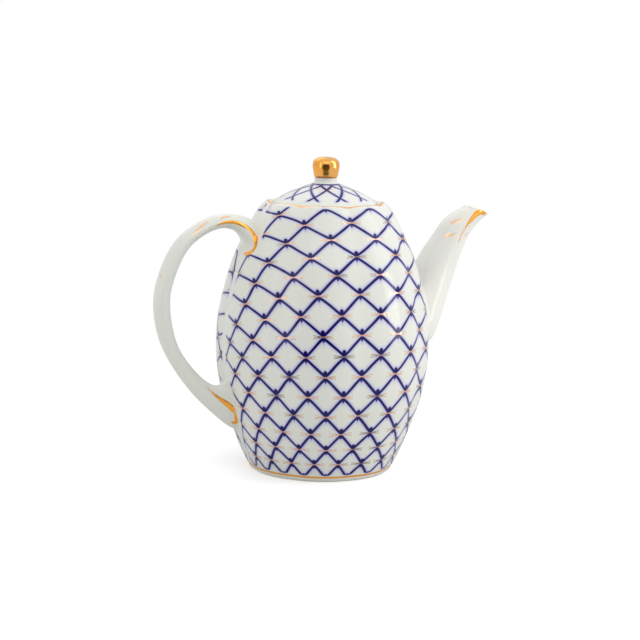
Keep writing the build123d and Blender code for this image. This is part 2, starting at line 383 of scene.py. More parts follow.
# -------- the pieces
def make_body():
    rows = []
    for radius, height in FOOT_PROFILE[1:]:
        rows.append((radius, height, 0.0 if radius < FOOT_LOBE_FROM else FOOT_LOBE, 0.0))
    for height in np.linspace(WALL_FOOT, WALL_TOP, WALL_RINGS):
        dip = smoothstep(WALL_TOP - RIM_DIP_FADE, WALL_TOP, height)
        rows.append((crest_radius(height), height, 1.0, dip))
    for radius, height in RIM_PROFILE:
        lobe = smoothstep(RIM_LOBE_RADIUS, RIM_PROFILE[0][0], radius) if height > RIM_LOBE_FROM else 0.0
        rows.append((radius, height, lobe, 1.0 if height > RIM_DIP_FROM else 0.0))
    rows += through(CAVITY_PROFILE, CAVITY_STEP).tolist()
    rows += [(radius, FLOOR_TOP) for radius in FLOOR_RADII]
    recess, floor = (0, 0, FOOT_PROFILE[0][1]), (0, 0, FLOOR_TOP)
    body = ring_mesh("pot_body_glazed", lathe(rows, BODY_SEGMENTS), first_pole=recess, last_pole=floor)
    holes = []
    for height, count in STRAINER_ROWS:
        for hole in range(count):
            side = (hole - (count - 1) / 2) * STRAINER_PITCH
            holes.append((STRAINER_HOLE_RADIUS, (STRAINER_FROM, side, height), (STRAINER_LENGTH, 0, 0)))
    drill(body, holes)
    return body


def make_spout():
    sections = Curve(range(len(SPOUT_SECTIONS)), SPOUT_SECTIONS)
    last = len(SPOUT_SECTIONS) - 1.0
    turn = np.linspace(-math.pi, math.pi, SPOUT_SEGMENTS, endpoint=False)

    def outer(along, wall=0.0, lead=0.0):
        return tube_point(sections, SPOUT_RIDGE, along, turn, wall, lead)

    root = outer(leaving(sections, SPOUT_RIDGE, turn, 0, last, 0))
    free_at = leaving(sections, SPOUT_RIDGE, turn, 0, last, SPOUT_FILLET)
    rings = fillet_rows(root, outer(free_at), SPOUT_FILLET, SPOUT_FILLET_RINGS)
    rings += [outer(free_at + (last - free_at) * share) for share in np.linspace(0, 1, SPOUT_RINGS)]
    for angle in np.linspace(0, math.pi, LIP_STEPS + 1)[1:-1]:
        inset = SPOUT_LIP_WALL / 2 * (1 - math.cos(angle))
        rings.append(outer(last + 0 * turn, inset, SPOUT_LIP_WALL / 2 * math.sin(angle)))
    bore_at = leaving(sections, SPOUT_RIDGE, turn, 0, last, 0, SPOUT_WALL)
    for share in np.linspace(0, 1, BORE_RINGS):
        wall = SPOUT_LIP_WALL + (SPOUT_WALL - SPOUT_LIP_WALL) * min(1.0, share / BORE_TAPER)
        rings.append(outer(last + (bore_at - last) * share, wall))
    rings[-1] = onto_body(rings[-1], -SINK)
    return ring_mesh("spout_glazed", rings, closed=True), rings[0]


def make_handle():
    sections = Curve(range(len(HANDLE_SECTIONS)), HANDLE_SECTIONS)
    last = len(HANDLE_SECTIONS) - 1.0
    middle = last / 2
    turn = np.linspace(-math.pi, math.pi, HANDLE_SEGMENTS, endpoint=False)

    def tube(along):
        return tube_point(sections, HANDLE_RIDGE, along, turn)

    ends = []
    for end in (0.0, last):
        root = tube(leaving(sections, HANDLE_RIDGE, turn, end, middle, 0))
        free_at = leaving(sections, HANDLE_RIDGE, turn, end, middle, HANDLE_FILLET)
        ends.append((fillet_rows(root, tube(free_at), HANDLE_FILLET, HANDLE_FILLET_RINGS), free_at))
    (top_rows, top_free), (low_rows, low_free) = ends
    shares = np.linspace(0, 1, HANDLE_RINGS)
    free = [tube(top_free + (low_free - top_free) * share) for share in shares]
    rings = top_rows + free + low_rows[::-1]
    poles = [onto_body(rings[end].mean(axis=0), -END_SINK) for end in (0, -1)]
    handle = ring_mesh("handle_glazed", rings, first_pole=poles[0], last_pole=poles[1])
    return handle, rings[0], rings[-1]


def make_lid():
    rows = through(LID_UNDERSIDE, UNDERSIDE_STEP).tolist()[1:-1]
    rows += LID_PROFILE[:-1]
    rows += through(LID_DOME, DOME_STEP).tolist()
    rows += [(radius, NECK_TOP) for radius in FLAT_TOP_RADII]
    lid = ring_mesh("lid_glazed", lathe(rows, LID_SEGMENTS), first_pole=(0, 0, LID_UNDERSIDE[0][1]),
                    last_pole=(0, 0, NECK_TOP))
    drill(lid, [(VENT_RADIUS, (0, VENT_OFFSET, VENT_FROM), (0, 0, VENT_LENGTH))])
    return lid


def make_knob():
    rows = [(radius, KNOB_FOOT) for radius in FLAT_TOP_RADII[::-1]]
    rows += through(KNOB_PROFILE, KNOB_STEP).tolist()[:-1]
    return ring_mesh("knob_gilded", lathe(rows, KNOB_SEGMENTS), first_pole=(0, 0, KNOB_FOOT),
                     last_pole=(0, 0, KNOB_PROFILE[-1][1]))


# -------- what the painter put on
# Each point of a stroke: x, y, z and half width of the brush. The far side mirrors the near one,
# apart from the end of the scroll.
HANDLE_SCROLL = [
    (-65.6, -5.5, 138.0, 0.3), (-60.8, -6.0, 139.8, 0.7), (-55.9, -6.0, 140.0, 1.0),
    (-52.3, -6.5, 139.2, 1.15), (-48.8, -6.5, 137.3, 1.25), (-45.9, -6.8, 134.7, 1.4),
    (-44.1, -9.9, 130.3, 1.5), (-45.1, -11.9, 127.3, 1.45), (-46.4, -11.2, 124.9, 1.4),
    (-47.6, -8.4, 123.1, 1.3), (-48.2, -4.6, 122.4, 1.1), (-48.4, -1.6, 123.0, 0.7),
]
SCROLL_ON_HANDLE = 6  # points of the scroll before it reaches the body
HANDLE_LEAF = [
    (-69.1, -6.0, 50.0, 0.2), (-66.2, -6.0, 46.6, 0.5), (-61.3, -6.0, 42.1, 1.2),
    (-57.6, -6.0, 39.4, 1.55), (-54.7, -6.0, 36.7, 1.5), (-53.0, -6.0, 34.6, 1.45),
    (-52.6, -6.0, 31.6, 1.25), (-53.6, -5.5, 27.8, 0.95), (-55.2, -5.5, 28.9, 0.5),
]
HANDLE_DABS = [
    [(-78.5, -5.2, 133.4, 0.2), (-76.1, -5.0, 135.5, 0.8), (-73.4, -4.6, 138.1, 0.8),
     (-70.0, -3.6, 140.5, 0.3)],
    [(-63.2, -4.6, 142.1, 0.25), (-60.6, -4.0, 142.6, 0.7), (-56.6, -3.4, 143.4, 0.4)],
    [(-87.1, -4.6, 130.0, 0.1), (-86.3, -4.2, 130.8, 0.35), (-85.5, -3.8, 131.8, 0.1)],
    [(-96.9, -3.4, 110.4, 0.1), (-96.8, -3.0, 111.9, 0.45), (-96.5, -2.6, 113.1, 0.1)],
]
SPOUT_FLAME = [
    (97.0, -4.6, 142.6, 2.1), (94.0, -5.8, 143.2, 2.0), (91.5, -6.4, 142.6, 1.9),
    (89.3, -6.8, 141.0, 1.65), (86.8, -7.2, 138.7, 1.25), (84.4, -7.6, 136.2, 0.7),
    (83.0, -7.8, 134.3, 0.2),
]
SPOUT_DABS = [
    [(73.8, -8.0, 138.8, 0.5), (76.0, -8.0, 139.0, 1.1), (78.2, -8.0, 139.3, 1.0),
     (79.8, -8.0, 139.4, 0.6), (83.0, -8.0, 140.2, 0.3)],
    [(69.4, -8.4, 130.8, 0.4), (71.3, -8.5, 130.8, 1.1), (73.6, -8.5, 130.8, 0.8),
     (75.5, -8.5, 130.9, 0.5), (78.0, -8.5, 131.6, 0.3)],
    [(83.2, -6.5, 128.8, 0.2), (85.0, -6.0, 130.8, 0.55), (86.4, -5.4, 131.7, 0.3)],
    [(84.4, -7.6, 136.2, 0.7), (82.3, -8.0, 133.4, 0.7), (80.2, -8.2, 130.0, 0.6),
     (78.4, -8.4, 126.1, 0.4)],
    [(88.0, -3.5, 145.5, 0.3), (92.0, -5.5, 144.6, 0.35), (96.5, -5.5, 143.2, 0.35)],
]
SPOUT_TIP = (101.2, 0.0, 141.6, 4.0)  # the gilded point of the lip: x, y, z and reach
SCROLL_RELIEF, FLAME_RELIEF = 0.3, 0.12  # how high the thick gilding stands
PALE_SOFTNESS, PALE_DEPTH = 0.3, -0.015  # a thin dab's soft edge and how little gold it holds
STROKE_STEP = 1.0


def mirrored(stroke):
    return [(x, -y, z, width) for x, y, z, width in stroke]


def both_sides(strokes):
    return strokes + [mirrored(stroke) for stroke in strokes]


def on_surface(strokes, pieces):
    """Strokes smoothed and laid on the nearest surface."""
    depsgraph = bpy.context.evaluated_depsgraph_get()
    trees = [BVHTree.FromObject(piece, depsgraph) for piece in pieces]
    laid = []
    for stroke in strokes:
        fine = through(stroke, STROKE_STEP)
        for point in fine:
            hits = [tree.find_nearest(Vector(point[:3]) * MM) for tree in trees]
            place = min(hits, key=lambda hit: hit[3])[0]
            point[:3] = np.array(place) / MM
        laid.append(fine)
    return laid


def pale(distance):
    """A dab of gold so thin that the glaze shows through it."""
    return np.maximum(distance * PALE_SOFTNESS, PALE_DEPTH)


def near(points, path, reach):
    """Which points lie in the path's box, grown by reach."""
    low, high = path.min(axis=0) - reach, path.max(axis=0) + reach
    return np.where(np.all((points > low) & (points < high), axis=1))[0]


def stroke_distance(points, strokes):
    """Distance from points to the nearest stroke's edge, negative inside it."""
    nearest = np.full(len(points), FAR)
    for stroke in strokes:
        close = near(points, stroke[:, :3], STROKE_REACH)
        local = points[close]
        best = nearest[close]
        for a, b in zip(stroke, stroke[1:]):
            step = b[:3] - a[:3]
            share = np.clip((local - a[:3]) @ step / max(step @ step, 1e-9), 0, 1)
            gap = np.linalg.norm(local - a[:3] - share[:, None] * step, axis=1)
            best = np.minimum(best, gap - (a[3] + share * (b[3] - a[3])))
        nearest[close] = best
    return nearest


def loop_distance(points, loop):
    """Distance from points to a closed loop."""
    nearest = np.full(len(points), FAR)
    close = near(points, loop, LOOP_REACH)
    spread = points[close][:, None, :] - loop[None, ::2, :]
    nearest[close] = np.min(np.linalg.norm(spread, axis=2), axis=1)
    return nearest


def points_of(obj):
    flat = np.zeros(len(obj.data.vertices) * 3)
    obj.data.vertices.foreach_get("co", flat)
    return flat.reshape(-1, 3) / MM


def store(obj, **fields):
    for name, values in fields.items():
        attribute = obj.data.attributes.new(name, "FLOAT", "POINT")
        attribute.data.foreach_set("value", np.asarray(values, np.float32))


def raise_relief(obj, distance, height):
    """Lifts the surface under the thick gilding."""
    normals = np.zeros(len(obj.data.vertices) * 3)
    obj.data.vertex_normals.foreach_get("vector", normals)
    lift = height * smoothstep(*RELIEF_EDGE, distance)
    moved = points_of(obj) + normals.reshape(-1, 3) * lift[:, None]
    obj.data.vertices.foreach_set("co", (moved * MM).ravel())
    obj.data.update()


def wall_arc(height):
    """Distance up the outer wall from the foot."""
    levels = np.linspace(0, ARC_TO, ARC_STEPS)
    run = np.hypot(np.diff(levels), np.diff(crest_radius(levels)))
    return np.interp(height, levels, np.concatenate([[0], np.cumsum(run)]))


def root_arc(points, spout_foot):
    """Distance from the thin gold arc down each side of the spout's root."""
    level = np.abs(points[:, 2] - ROOT_ARC_HEIGHT) < ROOT_ARC_REACH
    beside = np.abs(points[:, 1]) > ROOT_ARC_ASIDE
    return np.where(level & beside, loop_distance(points, spout_foot) - ROOT_ARC_WIDTH, FAR)


def net_place(points):
    """Column and row of the painted net at points of the wall, and the width of a column there."""
    azimuth = np.degrees(np.arctan2(points[:, 1], points[:, 0]))
    aside = 90 - np.abs(azimuth)  # -90 at the handle, 90 at the spout
    sag = np.where(aside < 0, NET_SAG, NET_SAG_SPOUT) * np.abs(aside / 90) ** NET_SAG_SHAPE
    arc = wall_arc(points[:, 2])
    hung = arc + sag * smoothstep(NET_SAG_START, NET_SAG_FULL, arc)
    arcs, rows = columns(NET_ROWS)
    first = (rows[1] - rows[0]) / (arcs[1] - arcs[0])
    last = (rows[-1] - rows[-2]) / (arcs[-1] - arcs[-2])
    row = Curve(arcs, rows)(hung)
    row += np.minimum(hung - arcs[0], 0) * first + np.maximum(hung - arcs[-1], 0) * last
    pitch = Curve(*columns(NET_PITCH))(row)
    across = aside + NET_SHIFT - NET_LEAN * (aside - NET_LEAN_FROM) ** 2
    return across / pitch, row, np.radians(pitch) * np.hypot(points[:, 0], points[:, 1])


def net_inside(points, spout_foot, handle_top, handle_low):
    """How far points are inside the painted part of the wall, negative where it's left bare."""
    azimuth = np.arctan2(points[:, 1], points[:, 0])
    height = points[:, 2]
    radius = np.hypot(points[:, 0], points[:, 1])
    painted = np.minimum(height - NET_FOOT, NET_TOP - RIM_DIP * valley(azimuth) - height)
    painted = np.minimum(painted, LOOP_REACH)
    painted = np.minimum(painted, loop_distance(points, spout_foot) - SPOUT_CLEARING)
    painted = np.minimum(painted, loop_distance(points, handle_top) - HANDLE_TOP_CLEARING)
    painted = np.minimum(painted, loop_distance(points, handle_low) - HANDLE_LOW_CLEARING)
    behind_handle = (math.pi - np.abs(azimuth)) * radius - NET_GAP
    over_spout = np.maximum(np.abs(points[:, 1]) - NET_GAP, NET_GAP_OVER_SPOUT - height)
    painted = np.minimum(painted, np.where(points[:, 0] > 0, over_spout, behind_handle))
    side, low, high = SHOULDER_CLEARING
    beside_handle = (np.abs(azimuth) - math.radians(side)) * radius
    clearing = np.minimum(beside_handle, np.minimum(height - low, high - height))
    return np.minimum(painted, -clearing)


def paint_body(body, spout_foot, handle_top, handle_low, strokes):
    points = points_of(body)
    height = points[:, 2]
    radius = np.hypot(points[:, 0], points[:, 1])
    outer = (height > OUTER_FROM) & (radius > crest_radius(height) - groove_depth(height) - OUTER_SPARE)
    column, row, width = net_place(points)
    painted = np.where(outer, net_inside(points, spout_foot, handle_top, handle_low), UNPAINTED)
    base_line = np.abs(height - BASE_LINE_HEIGHT) - BASE_LINE_WIDTH
    rim_line = (np.abs(radius - RIM_LINE_RADIUS) - RIM_LINE_WIDTH) * RIM_LINE_SOFTNESS
    gold = np.minimum(stroke_distance(points, strokes), root_arc(points, spout_foot))
    gold = np.minimum(gold, np.where(outer, base_line, FAR))
    gold = np.minimum(gold, np.where(height > RIM_LINE_FROM, rim_line, FAR))
    store(body, net_u=column, net_v=row, net_w=width, net_h=np.full(len(points), NET_CELL_HEIGHT),
          painted=painted, gilding=gold)


def paint_spout(spout, spout_foot):
    flames = on_surface(both_sides([SPOUT_FLAME]), [spout])
    raise_relief(spout, stroke_distance(points_of(spout), flames), FLAME_RELIEF)
    dabs = on_surface(both_sides(SPOUT_DABS), [spout])
    points = points_of(spout)
    *tip, tip_reach = SPOUT_TIP
    gold = np.minimum(stroke_distance(points, flames), np.linalg.norm(points - tip, axis=1) - tip_reach)
    gold = np.minimum(gold, pale(stroke_distance(points, dabs)))
    store(spout, gilding=np.minimum(gold, root_arc(points, spout_foot)))


def paint_handle(handle, strokes, dabs):
    points = points_of(handle)
    faint = pale(stroke_distance(points, dabs))
    store(handle, gilding=np.minimum(stroke_distance(points, strokes), faint))


def paint_lid(lid):
    points = points_of(lid)
    azimuth = np.degrees(np.arctan2(points[:, 1], points[:, 0])) + LID_NET_TURN
    azimuth = np.abs((azimuth + 180) % 360 - 180)  # both halves, so no column is torn at the back
    radius = np.hypot(points[:, 0], points[:, 1])
    top = points[:, 2] > np.interp(radius, *columns(LID_TOP_SIDE))
    row_at = Curve(*columns(LID_ROWS))
    rows_per_mm = np.maximum(row_at(radius - 0.5) - row_at(radius + 0.5), LID_LEAST_ROWS)
    painted = np.minimum(LID_NET_EDGE - radius, radius - LID_RING + LID_RING_OVERLAP)
    ring = np.abs(radius - LID_RING) * LID_SLOPE - LID_RING_WIDTH
    store(lid, net_u=azimuth / LID_COLUMN - 1, net_v=row_at(radius),
          net_w=radius * math.radians(LID_COLUMN), net_h=LID_SLOPE / rows_per_mm,
          painted=np.where(top, painted, UNPAINTED), gilding=np.full(len(points), FAR),
          cobalt=np.where(top, ring, FAR))


# -------- materials
class Field:
    """A number in a shader, on which ordinary arithmetic adds Math nodes."""

    def __init__(self, tree, socket):
        self.tree, self.socket = tree, socket

    def math(self, operation, *others):
        node = self.tree.nodes.new("ShaderNodeMath")
        node.operation = operation
        for slot, value in zip(node.inputs, (self,) + others):
            if isinstance(value, Field):
                self.tree.links.new(value.socket, slot)
            else:
                slot.default_value = value
        return Field(self.tree, node.outputs[0])

    def __add__(self, other):
        return self.math("ADD", other)

    def __sub__(self, other):
        return self.math("SUBTRACT", other)

    def __mul__(self, other):
        return self.math("MULTIPLY", other)

    def __truediv__(self, other):
        return self.math("DIVIDE", other)

    __radd__, __rmul__ = __add__, __mul__

    def __rsub__(self, other):
        return self * -1 + other

    def __abs__(self):
        return self.math("ABSOLUTE")

    def least(self, other):
        return self.math("MINIMUM", other)

    def most(self, other):
        return self.math("MAXIMUM", other)

    def blend_least(self, other, width):
        return self.math("SMOOTH_MIN", other, width)

    def hypot(self, other):
        return (self * self + other * other).math("SQRT")

    def above(self, other):
        return self.math("GREATER_THAN", other)

    def ramp(self, low, high, start=0.0, end=1.0):
        """start below low, end above high, and a smooth step between."""
        node = self.tree.nodes.new("ShaderNodeMapRange")
        node.interpolation_type = "SMOOTHSTEP"
        self.tree.links.new(self.socket, node.inputs["Value"])
        for name, value in (("From Min", low), ("From Max", high), ("To Min", start), ("To Max", end)):
            node.inputs[name].default_value = value
        return Field(self.tree, node.outputs["Result"])


def split(tree, place):
    """The three parts of a direction or place."""
    node = tree.nodes.new("ShaderNodeSeparateXYZ")
    tree.links.new(place, node.inputs[0])
    return [Field(tree, socket) for socket in node.outputs]


class Paint:
    """A node material built from fields."""

    def __init__(self, name):
        self.material = bpy.data.materials.new(name)
        self.material.use_nodes = True
        self.tree = self.material.node_tree
        self.shader = self.tree.nodes["Principled BSDF"]
        self.place = self.tree.nodes.new("ShaderNodeTexCoord").outputs["Object"]

    def read(self, name):
        node = self.tree.nodes.new("ShaderNodeAttribute")
        node.attribute_name = name
        return Field(self.tree, node.outputs["Fac"])

    def noise(self, size, detail=2.0, shift=0.0):
        """Noise about -0.5 to 0.5 whose features are about size millimetres. Every noise in a
        paint has a shift of its own."""
        node = self.tree.nodes.new("ShaderNodeTexNoise")
        node.inputs["Scale"].default_value = 1 / (size * MM)
        node.inputs["Detail"].default_value = detail
        moved = self.tree.nodes.new("ShaderNodeVectorMath")
        moved.operation = "ADD"
        moved.inputs[1].default_value = (shift, shift * 0.7, -shift)
        self.tree.links.new(self.place, moved.inputs[0])
        self.tree.links.new(moved.outputs[0], node.inputs["Vector"])
        return Field(self.tree, node.outputs["Fac"]) - 0.5

    def height(self):
        return split(self.tree, self.place)[2] / MM

    def distance(self):
        """Level distance from the pot's axis, in millimetres."""
        east, north, _ = split(self.tree, self.place)
        return east.hypot(north) / MM

    def mix(self, share, under, over):
        node = self.tree.nodes.new("ShaderNodeMix")
        node.data_type = "RGBA"
        self.tree.links.new(share.socket, node.inputs["Factor"])
        slots = [slot for slot in node.inputs if slot.type == "RGBA"]
        for slot, value in zip(slots, (under, over)):
            if isinstance(value, tuple):
                slot.default_value = (*value, 1.0)
            else:
                self.tree.links.new(value, slot)
        return next(out for out in node.outputs if out.type == "RGBA")

    def set(self, **inputs):
        names = {"color": "Base Color", "metal": "Metallic", "rough": "Roughness"}
        for name, value in inputs.items():
            slot = self.shader.inputs[names.get(name, name)]
            value = value.socket if isinstance(value, Field) else value
            if isinstance(value, bpy.types.NodeSocket):
                self.tree.links.new(value, slot)
            else:
                slot.default_value = value

    def bump(self, height, distance):
        """Relief whose height of 1 is distance millimetres."""
        node = self.tree.nodes.new("ShaderNodeBump")
        node.inputs["Strength"].default_value = 1.0
        node.inputs["Distance"].default_value = distance * MM
        self.tree.links.new(height.socket, node.inputs["Height"])
        self.tree.links.new(node.outputs["Normal"], self.shader.inputs["Normal"])


GLAZE = ((0.80, 0.81, 0.735), (0.785, 0.80, 0.76))
GLAZE_SPOUT_LIT = ((0.86, 0.845, 0.77), (0.83, 0.825, 0.785))  # the spout's: the same glaze painted lighter and a little creamier, as painted light falling on the spout
GLAZE_IOR = 1.36
BLEED = (0.33, 0.34, 0.82)  # cobalt spread thin in the glaze
COBALT_THIN = (0.022, 0.014, 0.26)
COBALT = (0.005, 0.002, 0.075)
GOLD = (0.98, 0.44, 0.075)
GOLD_THIN = (0.84, 0.45, 0.27)
# painted reflection: dark brown standing in for the dark surroundings reflected in some gold marks
GOLD_DARK_REFLECTION = (0.16, 0.10, 0.035)
GOLD_WASH = (0.86, 0.47, 0.16)  # the knob's thinner and worn places
GOLD_WORN = (0.72, 0.35, 0.10)
BISCUIT = (0.66, 0.63, 0.57)  # unglazed clay under the foot
BISCUIT_HEIGHT = (0.25, 0.75)  # the glaze ends between these heights

# The painter's hand, in millimetres where no other unit is given.
BODY_BRUSH, LID_BRUSH = 0.70, 0.68  # half widths of the net's strokes
SWAY_SIZE, SWAY = 17, 0.10  # how the net wanders, in columns and rows
BRUSH_UNEVEN = 0.35
BEND_SHARP = (0.072, 0.018)  # how round and how far open the strokes turn above a mark
BEND_ROUND = (0.085, 0.020)  # and below it
DOT_UP, DOT_RADIUS = 2.5, 1.08  # the round dot above a mark
CROTCH_UP, CROTCH_FLAT, CROTCH_RADIUS = 1.75, 1.3, 0.95  # the paint that fills the fork under it
TICK_DOWN, TICK_FLAT, TICK_RADIUS = 2.2, 0.6, 0.52  # the short tick below the mark
BLOB_MELT, TICK_MELT = 0.35, 0.2  # how softly they run into the strokes
# Each gold mark is a short bow with three thin rays to either side.
BOW_HALF, BOW_FLARE, BOW_LENGTH, BOW_UNEVEN = 0.30, 0.15, 2.3, 2.0
RAY_SPREAD, RAY_HALF, RAY_TAPER, RAY_LENGTH, RAY_UNEVEN = 0.17, 0.32, 0.030, 5.6, 3.4
# The layers of cobalt and gold: ramps from inside a stroke to outside it, then their strength.
HALO_RAMP, HALO_SHADE = (-0.2, 2.4, 0.56, 0.0), 1.9  # a blue haze beside the strokes
EDGE_RAMP, EDGE_SHADE = (-0.22, 0.26, 1.0, 0.0), 0.95
CORE_RAMP = (-0.45, 0.0, 1.0, 0.0)
GOLD_RAMP = (-0.16, 0.12, 1.0, 0.0)
THIN_RAMP = (-0.14, 0.10, 1.0, 0.0)
STROKE_END = (0.0, 1.6, 1.4, 0.0)  # how strokes and marks thin out where the painting ends
MARK_END = (0.0, 2.0, 1.0, 0.0)
PAINT_END = (-0.6, 0.2)
RING_COVER = (0.1, 0.6, 1.0, 0.0)
GOLD_RELIEF, THIN_RELIEF = 0.03, 0.04
# Roughness, and what patches in the glaze, gold and unglazed clay add to it.
GLAZE_ROUGH, ROUGH_PATCHES, GOLD_ROUGH, BISCUIT_ROUGH = 0.07, 0.04, 0.13, 0.55


def net_fields(paint, brush, plain):
    """Distances in millimetres from the painted net's strokes and from its gold marks.

    A plain net has strokes that simply cross, with no dots and no gold."""
    u = paint.read("net_u") + paint.noise(SWAY_SIZE, 1.0, 0.13) * SWAY
    v = paint.read("net_v") + paint.noise(SWAY_SIZE, 1.0, 0.41) * SWAY
    wide, tall = paint.read("net_w"), paint.read("net_h")
    rising, falling = (u + v) * 0.5, (u - v) * 0.5  # both are whole numbers at a mark
    rising, falling = rising - rising.math("ROUND"), falling - falling.math("ROUND")
    du, dv = abs(rising + falling), rising - falling  # columns and rows from the nearest mark
    drop = abs(dv)
    slope = wide.math("POWER", -1.0).hypot(tall.math("POWER", -1.0))
    half_width = (paint.noise(9, 1.0, 0.77) * BRUSH_UNEVEN + 1.0) * brush
    if plain:
        return abs(drop - du) / slope - half_width, None
    narrowing = 1 - du * 2  # 1 at a mark, 0 half a column away
    sharp, rounded = [drop - du.hypot(narrowing * bend) - narrowing * gap
                      for bend, gap in (BEND_SHARP, BEND_ROUND)]
    stroke = abs(rounded + dv.above(0.0) * (sharp - rounded)) / slope - half_width
    across, up = du * wide, dv * tall
    dot = across.hypot(up - DOT_UP) - DOT_RADIUS
    crotch = across.hypot((up - CROTCH_UP) * CROTCH_FLAT) - CROTCH_RADIUS
    tick = across.hypot(abs(up + TICK_DOWN) * TICK_FLAT) - TICK_RADIUS
    stroke = stroke.blend_least(dot, BLOB_MELT).blend_least(crotch, BLOB_MELT)
    stroke = stroke.blend_least(tick, TICK_MELT)
    flick = paint.noise(1.6, 1.0, 0.29)
    level = abs(up)
    bow = (level - across * BOW_FLARE - BOW_HALF).most(across - BOW_LENGTH - flick * BOW_UNEVEN)
    ray = level.least(abs(level - across * RAY_SPREAD)) - (RAY_HALF - across * RAY_TAPER)
    marks = bow.least(ray.most(across - RAY_LENGTH - flick * RAY_UNEVEN))
    return stroke, marks


def painted_net(paint, colour, brush, ring):
    """The glaze's colour with the cobalt net over it, and the cover of the gold marks or None."""
    stroke, marks = net_fields(paint, brush, plain=ring)
    painted = paint.read("painted")
    stroke = stroke + painted.ramp(*STROKE_END)
    inside = painted.ramp(*PAINT_END)
    if ring:
        cobalt = paint.read("cobalt")
        stroke = stroke.least(cobalt)
        inside = inside.most(cobalt.ramp(*RING_COVER))
    halo, edge, core = [stroke.ramp(*ramp) * inside for ramp in (HALO_RAMP, EDGE_RAMP, CORE_RAMP)]
    colour = paint.mix(halo * halo * HALO_SHADE, colour, BLEED)
    colour = paint.mix(edge * EDGE_SHADE, colour, COBALT_THIN)
    colour = paint.mix(core, colour, COBALT)
    if not marks:
        return colour, None
    marks = marks + painted.ramp(*MARK_END)
    worn = (0.78 + paint.noise(0.9, 1.0, 0.21) * 0.7).least(1.0)
    cover = marks.ramp(*THIN_RAMP) * inside * worn
    # random patches of the thin gold marks painted dark brown, as painted dark reflections
    dark_reflection = paint.noise(26, 1.0, 0.71).ramp(0.02, 0.14)
    return paint.mix(cover, colour, paint.mix(dark_reflection * 0.85, GOLD_THIN, GOLD_DARK_REFLECTION)), cover


def porcelain(name, brush=0.0, ring=False, glaze=GLAZE):
    """Glazed porcelain with gilding, and with the painted net if its brush has a width."""
    paint = Paint(name)
    colour = paint.mix(paint.noise(38, 2.0, 0.9).ramp(-0.25, 0.3), *glaze)
    gold = paint.read("gilding") + paint.noise(1.3, 2.0, 0.61) * 0.35
    cover = gold.ramp(*GOLD_RAMP)
    relief = paint.noise(14, 1.0, 0.33) * 0.05 + paint.noise(3.2, 1.0, 0.53) * 0.006
    metal = cover
    if brush:
        colour, thin = painted_net(paint, colour, brush, ring)
        if thin:
            relief = relief + thin * (paint.noise(2.4, 1.0, 0.37) * 0.5 + THIN_RELIEF)
            metal = cover.most(thin * 0.8)
    colour = paint.mix(cover, colour, GOLD)
    patches = paint.noise(11, 2.0, 0.15).ramp(-0.2, 0.3)
    rough = GLAZE_ROUGH + patches * ROUGH_PATCHES + metal * GOLD_ROUGH
    if name.startswith("body"):
        raw = paint.height().ramp(*BISCUIT_HEIGHT, 1.0, 0.0)
        colour = paint.mix(raw, colour, BISCUIT)
        rough = rough + raw * BISCUIT_ROUGH
    paint.set(color=colour, metal=metal, rough=rough, **{"IOR": GLAZE_IOR})
    paint.bump(relief + cover * GOLD_RELIEF, 1.0)
    return paint.material


def gilding(name):
    """Burnished gold over the glaze, a little uneven from the brush."""
    paint = Paint(name)
    wash = paint.noise(5.5, 3.0, 0.37)
    worn = paint.noise(2.0, 3.0, 0.83).ramp(0.16, 0.34)
    colour = paint.mix(wash.ramp(-0.22, 0.25), GOLD, GOLD_WASH)
    colour = paint.mix(worn * 0.5, colour, GOLD_WORN)
    paint.set(color=colour, metal=1.0, rough=0.10 + worn * 0.10 + wash.ramp(-0.3, 0.3) * 0.05)
    paint.bump(paint.noise(7, 1.0, 0.47) * 0.16 + paint.noise(1.4, 1.0, 0.58) * 0.006, 1.0)
    return paint.material


# -------- putting it together
body = make_body()
spout, spout_foot = make_spout()
handle, handle_top, handle_low = make_handle()
lid = make_lid()
knob = make_knob()

far_scroll = mirrored(HANDLE_SCROLL[:SCROLL_ON_HANDLE])
thick = on_surface([HANDLE_SCROLL, far_scroll] + both_sides([HANDLE_LEAF]), [handle, body])
dabs = on_surface(both_sides(HANDLE_DABS), [handle])
for piece in (handle, body):
    raise_relief(piece, stroke_distance(points_of(piece), thick), SCROLL_RELIEF)
paint_body(body, spout_foot, handle_top, handle_low, thick)
paint_spout(spout, spout_foot)
paint_handle(handle, thick, dabs)
paint_lid(lid)

for piece, body_name, node, slot, material in (
    (body, "pot", "pot_body", "porcelain", porcelain("body_porcelain", BODY_BRUSH)),
    # the spout takes the glaze painted lighter, as painted light
    (spout, "pot", "spout", "porcelain", porcelain("spout_porcelain", glaze=GLAZE_SPOUT_LIT)),
    (handle, "pot", "handle", "porcelain", porcelain("handle_porcelain")),
    (lid, "lid", "lid", "porcelain", porcelain("lid_porcelain", LID_BRUSH, ring=True)),
    (knob, "lid", "knob", "gilding", gilding("burnished_gold")),
):
    piece.data.materials.clear()
    piece.data.materials.append(material)
    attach(piece, body_name)
    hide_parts(node)


# -------- floor, light and camera
CAMERA_BACK = 935.0  # from the pot's axis, level
CAMERA_HEIGHT = 233.0
CAMERA_AZIMUTH = -22.5  # degrees; 0 looks along +Y
CAMERA_PITCH = -9.1
CAMERA_ROLL = 1.25
CAMERA_LENS, CAMERA_SENSOR = 95.0, 36.0
CAMERA_SHIFT = -0.0043
CAMERA_CLIP = (0.01, 20.0)  # metres

